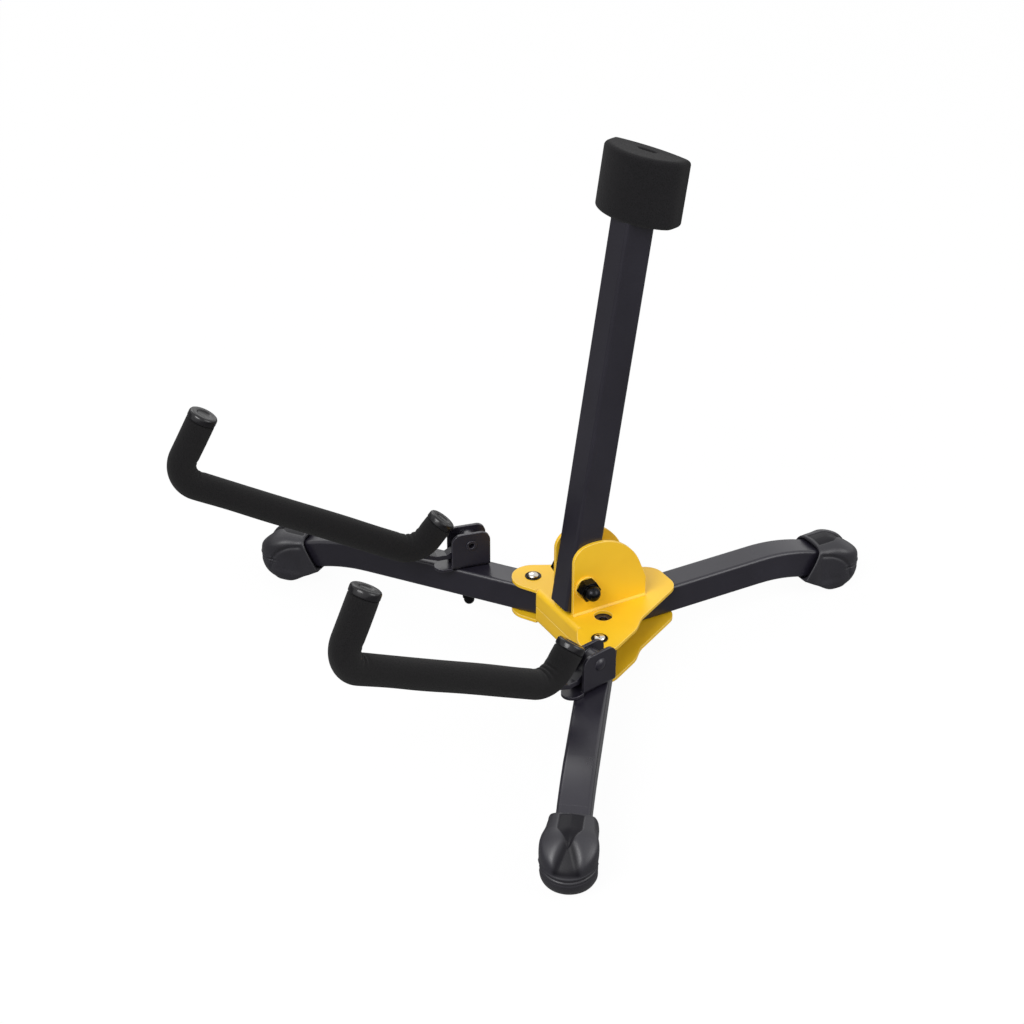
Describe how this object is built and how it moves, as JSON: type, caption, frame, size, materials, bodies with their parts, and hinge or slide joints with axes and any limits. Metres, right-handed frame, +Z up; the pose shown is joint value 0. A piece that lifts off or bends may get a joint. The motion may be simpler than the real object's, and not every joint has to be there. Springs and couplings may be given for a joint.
{
  "type": "folding instrument stand",
  "caption": "Low folding stand: yellow sheet hub, square-tube legs with rubber boots, short padded mast and padded cradle arms that swivel and fold.",
  "frame": {"origin": "on the floor, under the middle of the stand's outline seen from above", "axes": "+Z up; the mast leans towards +X and the rear leg points along +X; the cradle arms reach towards -X; +Y is the left leg"},
  "size_m": [0.3577, 0.3346, 0.2776],
  "materials": {
    "hub_paint": "semi-gloss yellow powder coat on pressed sheet steel",
    "black_powder_coat": "satin black powder coat on steel tube, bar and sheet",
    "boot_rubber": "moulded dark grey rubber, fine matt skin",
    "arm_foam": "matt black closed-cell foam sleeve",
    "pad_foam": "matt black closed-cell foam block",
    "cap_plastic": "glossy black moulded cap",
    "black_oxide": "glossy black zinc plate on steel fasteners",
    "bright_nickel": "bright nickel-plated steel",
    "zinc_plate": "clear zinc plate"
  },
  "bodies": {
    "hub": {"hub_top_plate": "hub_paint", "hub_bottom_plate": "hub_paint", "mast_cheek_left": "hub_paint", "mast_cheek_right": "hub_paint", "rear_leg_tube": "black_powder_coat", "rear_leg_boot": "boot_rubber", "rear_leg_rivets": "zinc_plate", "leg_pivot_screws": "bright_nickel", "leg_pivot_spacers": "zinc_plate", "leg_pivot_nuts": "bright_nickel", "mast_bolt": "black_oxide", "mast_acorn_nut": "black_oxide", "mast_washers": "hub_paint"},
    "mast": {"mast_tube": "black_powder_coat", "mast_pad": "pad_foam", "mast_spacer": "zinc_plate"},
    "left_leg": {"left_leg_tube": "black_powder_coat", "left_leg_boot": "boot_rubber", "left_lock_spring": "zinc_plate", "left_bracket_bolt": "zinc_plate", "left_bracket_washer": "black_oxide", "left_bracket_nut": "black_oxide"},
    "left_button": {"left_lock_button": "black_oxide"},
    "left_clevis": {"left_bracket": "black_powder_coat", "left_arm_pin": "black_powder_coat", "left_arm_washers": "zinc_plate"},
    "left_arm": {"left_arm_rod": "black_powder_coat", "left_arm_tongue": "black_powder_coat", "left_arm_sleeve": "arm_foam", "left_arm_caps": "cap_plastic"},
    "right_leg": {"right_leg_tube": "black_powder_coat", "right_leg_boot": "boot_rubber", "right_lock_spring": "zinc_plate", "right_bracket_bolt": "zinc_plate", "right_bracket_washer": "black_oxide", "right_bracket_nut": "black_oxide"},
    "right_button": {"right_lock_button": "black_oxide"},
    "right_clevis": {"right_bracket": "black_powder_coat", "right_arm_pin": "black_powder_coat", "right_arm_washers": "zinc_plate"},
    "right_arm": {"right_arm_rod": "black_powder_coat", "right_arm_tongue": "black_powder_coat", "right_arm_sleeve": "arm_foam", "right_arm_caps": "cap_plastic"}
  },
  "joints": [
    {"name": "left_leg_fold", "type": "hinge", "parent": "hub", "child": "left_leg", "pos_m": [-0.00458, 0.03378, 0.0245], "axis": [0, 0, 1], "range_deg": [0, 53.8]},
    {"name": "left_lock_button_travel", "type": "slide", "parent": "left_leg", "child": "left_button", "axis": [0, 0, -1], "range_m": [-0.0018, 0]},
    {"name": "left_arm_swivel", "type": "hinge", "parent": "left_leg", "child": "left_clevis", "pos_m": [-0.0267, 0.06399, 0.0325], "axis": [0, 0, -1], "range_deg": [-12, 42.2]},
    {"name": "left_arm_fold", "type": "hinge", "parent": "left_clevis", "child": "left_arm", "pos_m": [-0.0267, 0.06399, 0.047], "axis": [0.2011, 0.9796, 0], "range_deg": [0, 150]},
    {"name": "right_leg_fold", "type": "hinge", "parent": "hub", "child": "right_leg", "pos_m": [-0.00458, -0.03378, 0.0245], "axis": [0, 0, -1], "range_deg": [0, 53.8]},
    {"name": "right_lock_button_travel", "type": "slide", "parent": "right_leg", "child": "right_button", "axis": [0, 0, -1], "range_m": [-0.0018, 0]},
    {"name": "right_arm_swivel", "type": "hinge", "parent": "right_leg", "child": "right_clevis", "pos_m": [-0.0267, -0.06399, 0.0325], "axis": [0, 0, 1], "range_deg": [-12, 42.2]},
    {"name": "right_arm_fold", "type": "hinge", "parent": "right_clevis", "child": "right_arm", "pos_m": [-0.0267, -0.06399, 0.047], "axis": [-0.2011, 0.9796, 0], "range_deg": [0, 150]},
    {"name": "mast_fold", "type": "hinge", "parent": "hub", "child": "mast", "pos_m": [0.00084, 0, 0.0506], "axis": [0, -1, 0], "range_deg": [0, 98.5]}
  ]
}
